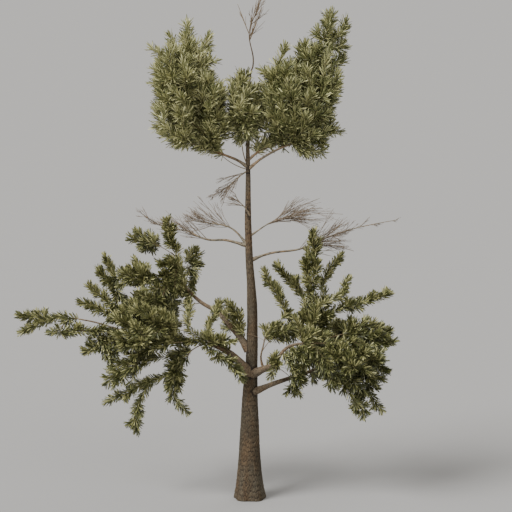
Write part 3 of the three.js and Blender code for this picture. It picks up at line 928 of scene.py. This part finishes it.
def bough_shoots(lines):
    """The leafy shoots of BOUGH_SHOOTS, as stems like those of shoots_of."""
    stems = []
    for name, first, last, count, longest, rise, mass in BOUGH_SHOOTS:
        rng = seeded("bough shoots", name, first)
        path, _ = lines[name]
        tangents = tangents_of(path)
        for share in np.linspace(first, last, count):
            k = int(share * (len(path) - 1))
            way = unit(tangents[k] * 0.6 + UP * rng.uniform(*rise) + rng.normal(0, 0.35, 3))
            shoot = path[k] + way * np.linspace(0, longest * rng.uniform(0.55, 1), 6)[:, None]
            stems.append((shoot, np.full(6, TIP_RADIUS), np.ones(6),
                          np.full((6, 2), MASSES.index(mass)), np.full(6, BROAD)))
    return stems


# ---- Needles ----

# For the lower crown and for the upper:
SIDE_STEP = (0.12, 0.10)  # between side shoots along a stem
SIDE_LENGTH = ((0.09, 0.19), (0.12, 0.24))
NEEDLES_PER_METRE = (132, 112)
NEEDLE_LENGTH = ((0.15, 0.205), (0.18, 0.255))
NEEDLE_WIDTH = (0.027, 0.0245)
NEEDLE_SPREAD = ((38, 62), (30, 66))  # degrees off the stem
NEEDLE_STRAY = (0.40, 0.95)  # how far a needle strays from that, as a vector

SIDE_DEPTH = 0.40  # deeper inside a mass there are no side shoots
SIDE_ROOM = 0.02  # a side shoot ends this far inside its masses
SLIM = 0.085  # where a mass is nowhere deeper than this its stem has no side shoots
BROAD = 0.12  # and where it is nowhere deeper than this its stem is a brush
BRUSH = 0.45  # that bears this many more needles
INNER_SHARE = 0.35  # of the needles per metre deep inside a mass
NEEDLE_PROFILE = ((0.25, 0.42, 0.08), (0.84, 0.5, 0.7))  # shares of length, of width, of bend
NEEDLE_FOLD = 0.28  # depth of its fold over its width
NEEDLE_BEND = 0.10  # how far its tip is bent over its length
NEEDLE_ROLL = 2.4  # radians between which it is rolled round itself
CLOTHED_TIPS = 14  # a stem that carries more tips than this is bare
BARE_WHERE_THIN = [MASSES.index("foliage_left_crest")]


def depth_in(solids, masses, place):
    """How deep a place lies in the deepest of some masses, given by number."""
    return max(solids[MASSES[mass]].depth(place) for mass in set(masses))


def side_shoots(stems, solids, rng, upper):
    """Short shoots on the outer stems, turned forwards and out towards the crown's surface."""
    made = []
    for path, _, _, within, broad, depth in stems:
        tangents = tangents_of(path)
        _, run = run_along(path)
        for s in np.arange(rng.uniform(0.02, SIDE_STEP[upper]), run[-1] - 0.04, SIDE_STEP[upper]):
            k = int(np.searchsorted(run, s))
            if not 0.02 <= depth[k] <= SIDE_DEPTH or broad[k] < SLIM:
                continue
            mass = solids[MASSES[within[k][1]]]
            surface = mass.tree.find_nearest(Vector(path[k]))[0]
            outward = unit(np.array(surface) - path[k])
            along = tangents[k]
            aside = unit(rng.normal(0, 1, 3))
            way = unit(along * 0.75 + (outward - along * (outward @ along)) * 0.75 + aside * 0.55)
            longest = rng.uniform(*SIDE_LENGTH[upper])
            room = SIDE_ROOM + hollow(path[k] + way * longest, broad[k])
            for size in (longest, longest / 2):
                end = path[k] + way * size
                if depth_in(solids, within[k], end) >= room:
                    break
            else:
                continue
            steps = np.linspace(0, 1, 5)[:, None]
            shoot = path[k] + way * size * steps + UP * 0.10 * size * steps ** 2
            depths = depth[k] + (mass.depth(end) - depth[k]) * steps[:, 0]
            made.append((shoot, np.full(5, TIP_RADIUS * 0.85), np.ones(5),
                         np.repeat(within[k][None], 5, 0), np.full(5, broad[k]), depths))
    return made


def needles_along(stems, rng, upper):
    """Rows for the needles: place, stem's direction, turn round it, depth, nearness to the
    stem's tip and number of the stem."""
    rows = []
    golden = 0.0
    for number, (path, _, carried, within, broad, depth) in enumerate(stems):
        tangents = tangents_of(path)
        gaps, run = run_along(path)
        left = run[-1] - run
        bare = np.isin(within[:, 1], BARE_WHERE_THIN)
        density = np.where(bare, smoothstep(0.040, 0.055, depth), 1.0)
        density = np.maximum(density * (depth > -0.02), left < 0.16) * (carried <= CLOTHED_TIPS)
        density = density * (1 - (1 - INNER_SHARE) * smoothstep(0.30, 0.55, depth))
        density = density * (1 + BRUSH * (1 - smoothstep(BROAD, BROAD + 0.06, broad)))
        density = density * (1 + 0.6 * (left < 0.05)) * NEEDLES_PER_METRE[upper]
        total = np.concatenate([[0], np.cumsum((density[1:] + density[:-1]) / 2 * gaps)])
        count = int(total[-1])
        if count < 3:
            continue
        wanted = (np.arange(count) + rng.uniform(0, 1, count)) / count * total[-1]
        s = np.interp(wanted, total, run)
        place = interpolated(s, run, path)
        along = unit(interpolated(s, run, tangents))
        turn = golden + GOLDEN_ANGLE * np.arange(count) + rng.normal(0, 0.25, count)
        golden = turn[-1]
        at_tip = smoothstep(0.10, 0.0, run[-1] - s)
        rows.append(np.column_stack([place, along, turn, np.interp(s, run, depth), at_tip,
                                     np.full(count, number)]))
    return np.concatenate(rows)


def needle_mesh(rows, rng, upper):
    """Strap needles folded along the middle, pointing forward off their stems."""
    count = len(rows)
    shared = rng.uniform(0, 1, (count, 6))
    place, along, turn, at_tip = rows[:, :3], rows[:, 3:6], rows[:, 6], rows[:, 8]
    side = unit(np.cross(along, np.where(np.abs(along[:, 2:]) < 0.9, UP, [[1.0, 0, 0]])))
    out = side * np.cos(turn)[:, None] + np.cross(along, side) * np.sin(turn)[:, None]
    low, high = np.radians(NEEDLE_SPREAD[upper])
    spread = (low + (high - low) * shared[:, 0]) * (1 - 0.6 * at_tip)
    heading = along * np.cos(spread)[:, None] + out * np.sin(spread)[:, None]
    heading = unit(heading + (shared[:, 1:4] - 0.5) * NEEDLE_STRAY[upper] + UP * 0.05)
    length = rng.uniform(*NEEDLE_LENGTH[upper], count)[:, None]
    width = NEEDLE_WIDTH[upper] * rng.uniform(0.8, 1.2, count)[:, None]
    across = unit(np.cross(heading, along))
    roll = (shared[:, 4:5] - 0.5) * NEEDLE_ROLL
    flat = np.cross(across, heading)
    across, flat = (across * np.cos(roll) + flat * np.sin(roll),
                    flat * np.cos(roll) - across * np.sin(roll))
    bend = unit(along + UP * 0.3) * length * NEEDLE_BEND
    start = place + heading * 0.004
    left, right = [], []
    for share, half, bent in NEEDLE_PROFILE:
        middle = start + heading * length * share + bend * bent
        left.append(middle + across * width * half + flat * width * NEEDLE_FOLD)
        right.append(middle - across * width * half + flat * width * NEEDLE_FOLD)
    tip = start + heading * length + bend
    points = np.stack([start, *left, tip, *reversed(right)], 1)
    faces = np.array([[0, 1, 2], [0, 2, 3], [0, 3, 4], [0, 4, 5]])
    faces = (faces[None] + 6 * np.arange(count)[:, None, None]).reshape(-1, 3)
    return points.reshape(-1, 3), faces


NEEDLE_SHADE = 0.66  # a needle's shade lies up to this far from its spray's, at random
# For the lower crown and for the upper, of the shades from 0, dark, to 1, sunlit:
SPRAY_SHADE = ((0.33, 0.46), (0.38, 0.54))  # a spray's lies between these, at random
PAINTED_LIGHT_RISING = (0.36, 0.12)  # painted light: more for a spray that points straight up, to brighten upright sprays; 0, 0 for neutral needles
PAINTED_LIGHT_TO_LEFT = (0.025, 0.07)  # painted light, as from a lamp on the left: more with each metre to the left; 0, 0 for neutral needles
PAINTED_SHADE_INSIDE = ((0.12, 0.20, 0.50), (0.28, 0.09, 0.26))  # painted shade: share lost by sprays deep inside a mass, between depths
# Tints from shaded to sunlit, and how wide a part of the shades each takes.
LOWER_TINTS = [((57, 60, 29), 0.20), ((85, 88, 49), 0.26), ((106, 107, 64), 0.26),
               ((126, 125, 80), 0.18), ((163, 160, 111), 0.10)]
UPPER_TINTS = [((86, 90, 52), 0.16), ((120, 123, 79), 0.24), ((145, 145, 99), 0.28),
               ((167, 165, 115), 0.20), ((193, 191, 143), 0.12)]


def by_spray(values, stem, count):
    """The mean of the needles' values over each spray."""
    return np.bincount(stem, values, count) / np.maximum(np.bincount(stem, minlength=count), 1)


def tints_dealt(rows, count, tints, rng, upper):
    """The number of each needle's tint, for needles on count stems."""
    stem = rows[:, 9].astype(int)
    # Painted light: sprays that rise and sprays to the left get paler tints.
    painted_light = PAINTED_LIGHT_RISING[upper] * np.maximum(rows[:, 5], 0) - PAINTED_LIGHT_TO_LEFT[upper] * rows[:, 0]
    of_spray = rng.uniform(*SPRAY_SHADE[upper], count) + by_spray(painted_light, stem, count)
    # Painted shade: sprays deep inside a mass get darker tints.
    lost, outer, inner = PAINTED_SHADE_INSIDE[upper]
    kept = 1 - lost * smoothstep(outer, inner, by_spray(rows[:, 7], stem, count))
    shade = of_spray[stem] + rng.uniform(-NEEDLE_SHADE, NEEDLE_SHADE, len(rows))
    shade = np.clip(shade, 0, 0.999) * kept[stem]
    return np.searchsorted(np.cumsum([share for _, share in tints]), shade)


def foliage(solids, lines, seeds):
    """All the shoots and needles of the crown."""
    points, masses, breadth = shoot_points(solids)
    stems = shoots_of(points, masses, breadth, *branch(points, masses, seeds), seeds)
    stems = [(*stem, np.array([depth_in(solids, around, place)
                               for place, around in zip(stem[0], stem[3])])) for stem in stems]
    stems += [(*stem, np.full(len(stem[0]), LEAST_DEPTH)) for stem in bough_shoots(lines)]
    for upper, crown, tints in ((False, "lower", LOWER_TINTS), (True, "upper", UPPER_TINTS)):
        own = [stem for stem in stems if is_upper(MASSES[stem[3][0, 0]]) == upper]
        own += side_shoots(own, solids, seeded("side shoots", crown), upper)
        names = [name for name in MASSES if is_upper(name) == upper]
        thinned = []
        for path, radii, *_ in own:
            keep = np.unique(np.append(np.arange(0, len(path), 2), len(path) - 1))
            thinned.append((path[keep], radii[keep]))
        make_piece(f"twigs_{crown}", *tubes(thinned, 6), TWIG_BARK, "bark", names)
        rng = seeded("needles", crown)
        rows = needles_along(own, rng, upper)
        dealt = tints_dealt(rows, len(own), tints, rng, upper)
        for number, (colour, _) in enumerate(tints):
            material = needle_material(f"needles_{crown}_tint_{number + 1}", colour)
            mesh = needle_mesh(rows[dealt == number], rng, upper)
            make_piece(f"needles_{crown}_{number + 1}", *mesh, material, f"needles_{crown}",
                       names, smooth=False)


# ---- The tree ----

ROOT_POINTS = 4  # at the first points of its centreline a limb bears no shoots
END_POINTS = 6  # from the last ones shoots carry on from it at no cost
CROWN_FROM = 8.5  # the trunk bears shoots above this height
TRUNK_FEEDS = ("foliage_top_middle_front", "foliage_top_middle_back")


def seeds_on(line, chosen, cost, mass=None):
    """Points of a line that shoots may grow from: where, headings, radii, costs, masses fed."""
    path, radii = line
    only = -1 if mass is None else MASSES.index(mass)
    return (path[chosen], tangents_of(path)[chosen], radii[chosen],
            np.broadcast_to(cost, len(chosen)), np.full(len(chosen), only))


solids = {name: Solid(name) for name in ["trunk", *LIMBS, *MASSES]}
lines = {name: centreline(solids[name], solids[root]) for name, root in LIMBS.items()}
lines["trunk"] = trunk_piece(
    solids["trunk"], [(path[0], unit(path[5] - path[0]), radii[4] * stouter(name))
                      for name, (path, radii) in lines.items() if LIMBS[name] == "trunk"])
seeds = []
for name in LIMBS:
    limb_piece(name, *lines[name])
    if not is_dead(name):
        length = len(lines[name][0])
        chosen = np.arange(ROOT_POINTS, length)
        cost = np.where(chosen >= length - END_POINTS, 0.0, SIDE_COST)
        seeds.append(seeds_on(lines[name], chosen, cost, FEEDS_ONLY.get(name)))
in_crown = np.flatnonzero(lines["trunk"][0][:, 2] > CROWN_FROM)
for mass in TRUNK_FEEDS:
    seeds.append(seeds_on(lines["trunk"], in_crown, SIDE_COST / 2, mass))
bare_twigs(lines)
foliage(solids, lines, [np.concatenate(column) for column in zip(*seeds)])

# ---- Studio ----


FLOOR_REACH = 400.0
FLOOR_DROP = 0.002  # from the trunk's cut to the floor
FLOOR_TONE = (0.305, 0.30, 0.292)
# Name, power, width in degrees and turn in degrees of each light.
SUNS = [("key", 5.4, 32, (50, 0, -52)), ("fill", 1.1, 50, (62, 0, 20)),
        ("back", 0.8, 60, (60, 0, 150))]


def world_tone():
    """The brightness of a sky that a floor lit by it and by the suns melts into."""
    lit = sum(power * math.cos(math.radians(turn[0])) for _, power, _, turn in SUNS) / math.pi
    return [tone * lit / (1 - tone) for tone in FLOOR_TONE]


def studio():
    """A pale floor, soft light from the upper left and the camera."""
    floor_mesh = bpy.data.meshes.new("floor")
    corners = [(x * FLOOR_REACH, y * FLOOR_REACH, -FLOOR_DROP)
               for x, y in ((-1, -1), (1, -1), (1, 1), (-1, 1))]
    floor_mesh.from_pydata(corners, [], [(0, 1, 2, 3)])
    floor = add_object("floor", floor_mesh)
    material, _, shader = new_material("floor_pale")
    shader.inputs["Base Color"].default_value = (*FLOOR_TONE, 1)
    shader.inputs["Specular IOR Level"].default_value = 0.0
    floor_mesh.materials.append(material)
    world = bpy.context.scene.world = bpy.data.worlds.new("studio")
    world.use_nodes = True
    world.node_tree.nodes["Background"].inputs["Color"].default_value = (*world_tone(), 1)
    for name, power, width, turn in SUNS:
        light = bpy.data.lights.new(name, "SUN")
        light.energy = power
        light.angle = math.radians(width)
        add_object(name, light).rotation_euler = [math.radians(d) for d in turn]
    camera_data = bpy.data.cameras.new("camera")
    camera_data.lens = CAMERA_LENS
    camera_data.sensor_width = 36
    camera_data.clip_end = 2 * FLOOR_REACH
    camera = add_object("camera", camera_data)
    camera.location = CAMERA_PLACE
    camera.rotation_euler = (math.radians(90), 0, 0)
    bpy.context.scene.camera = camera


studio()
